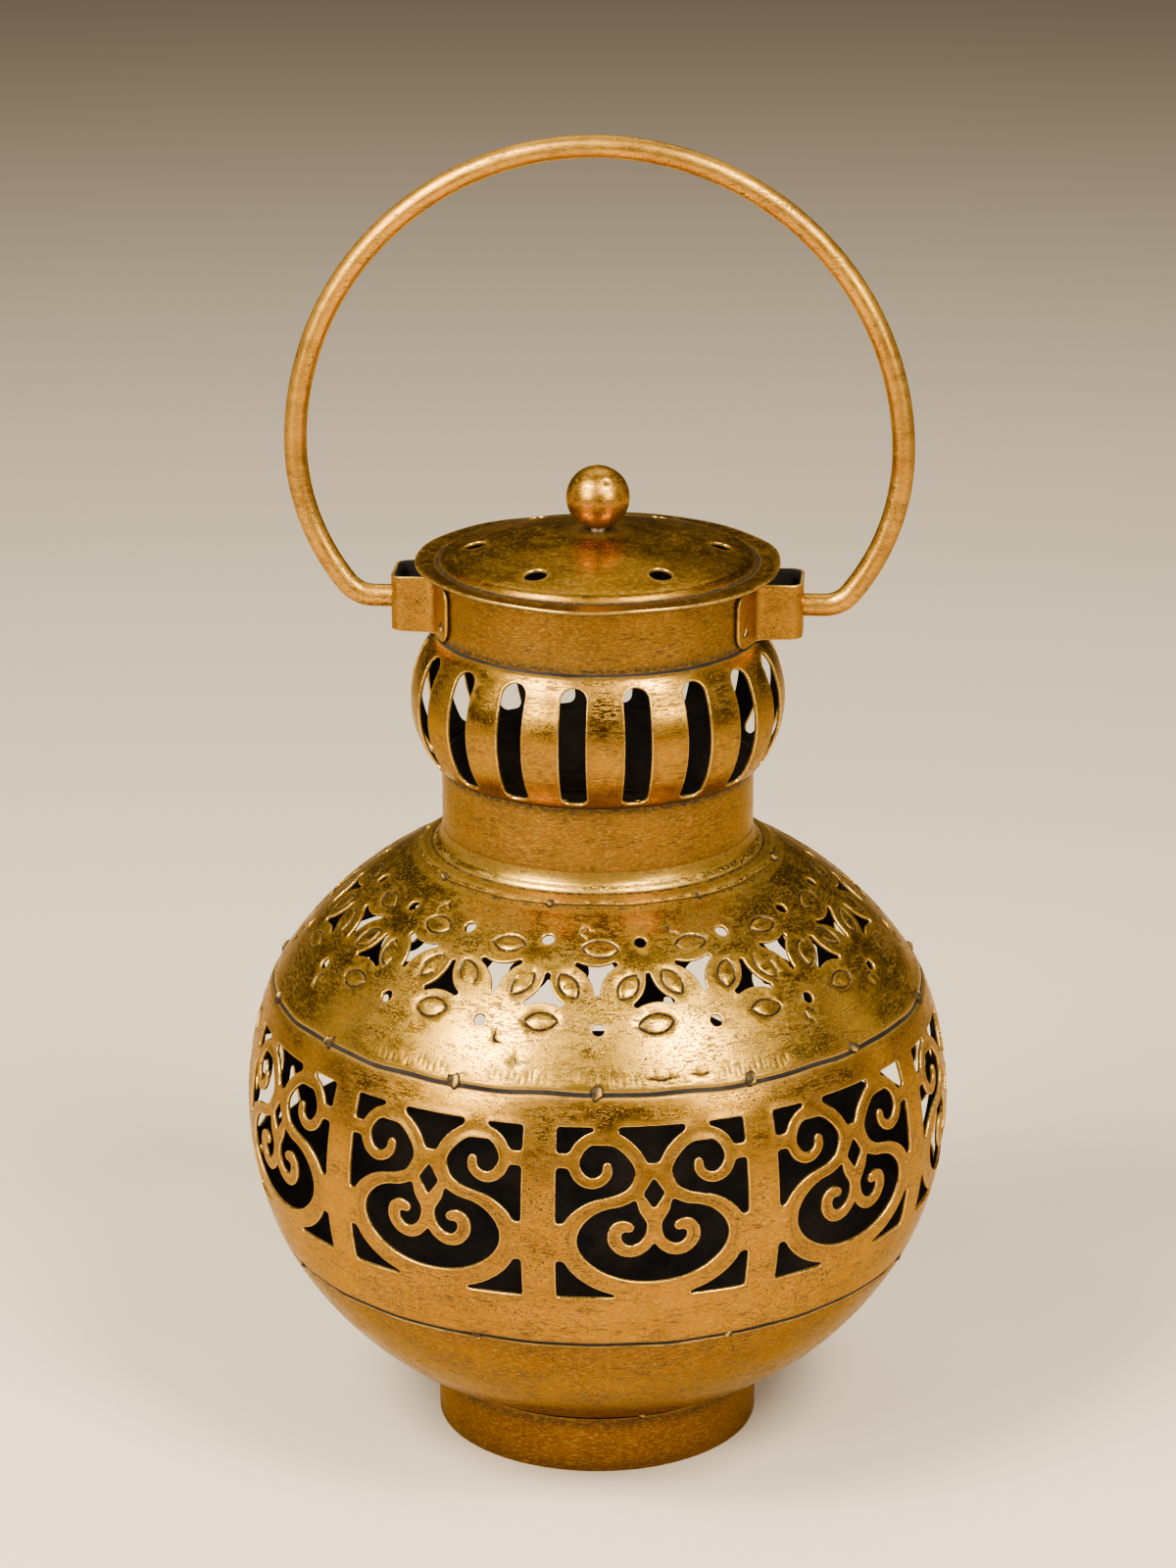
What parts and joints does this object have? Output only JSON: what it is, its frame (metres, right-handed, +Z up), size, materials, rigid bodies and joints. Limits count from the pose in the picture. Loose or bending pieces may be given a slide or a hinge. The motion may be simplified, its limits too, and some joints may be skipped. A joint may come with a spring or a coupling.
{
  "type": "hanging lantern",
  "caption": "Pierced sheet-metal candle lantern with a round body, slotted neck, lift-off lid with ball knob and a rod bail that swings on two strap lugs.",
  "frame": {"origin": "on the floor plane, under the centre of the foot ring", "axes": "+Z up along the lantern's axis; +X along the bail's pivot line, towards the right-hand lug; -Y is the front"},
  "size_m": [0.19, 0.19, 0.3549],
  "materials": {
    "foot_brass": "antique gold paint over iron, dark patina in the creases",
    "shell_brass": "antique gold paint over spun iron sheet, speckled dark patina, worn bright edges",
    "neck_brass": "antique gold paint over iron sheet, brushed, dark patina in the creases",
    "lug_brass": "antique gold paint over iron strip, speckled patina",
    "weld_metal": "weld bead under antique gold paint, dark",
    "rod_brass": "antique gold paint over iron rod, mottled dark patina",
    "lid_brass": "antique gold paint over iron sheet, darker olive patina",
    "inner_metal": "dark patinated iron",
    "knob_brass": "antique gold paint, polished on top",
    "fastener_steel": "dull steel",
    "cup_steel": "thin dark metal cup"
  },
  "bodies": {
    "lantern": {"foot_ring": "foot_brass", "base_bowl": "shell_brass", "scroll_band": "shell_brass", "flower_shoulder": "shell_brass", "neck_flange": "shell_brass", "neck_collar": "neck_brass", "slotted_bulge": "neck_brass", "top_collar": "neck_brass", "lug_right": "lug_brass", "lug_left": "lug_brass", "lug_spot_welds": "weld_metal", "tealight_cup": "cup_steel", "cup_rivet": "fastener_steel", "foot_tacks": "weld_metal", "lower_seam_tacks": "weld_metal", "upper_seam_tacks": "weld_metal", "neck_tacks": "weld_metal"},
    "bail": {"bail_handle": "rod_brass"},
    "lid": {"lid_cover": "lid_brass", "lid_sleeve": "inner_metal", "knob_ball": "knob_brass", "knob_screw": "fastener_steel", "knob_washer": "fastener_steel"}
  },
  "joints": [
    {"name": "bail_swing", "type": "hinge", "parent": "lantern", "child": "bail", "pos_m": [0, 0, 0.232], "axis": [1, 0, 0], "range_deg": [-136, 136]},
    {"name": "lid_lift", "type": "slide", "parent": "lantern", "child": "lid", "axis": [0, 0, 1], "range_m": [0, 0.075]}
  ]
}
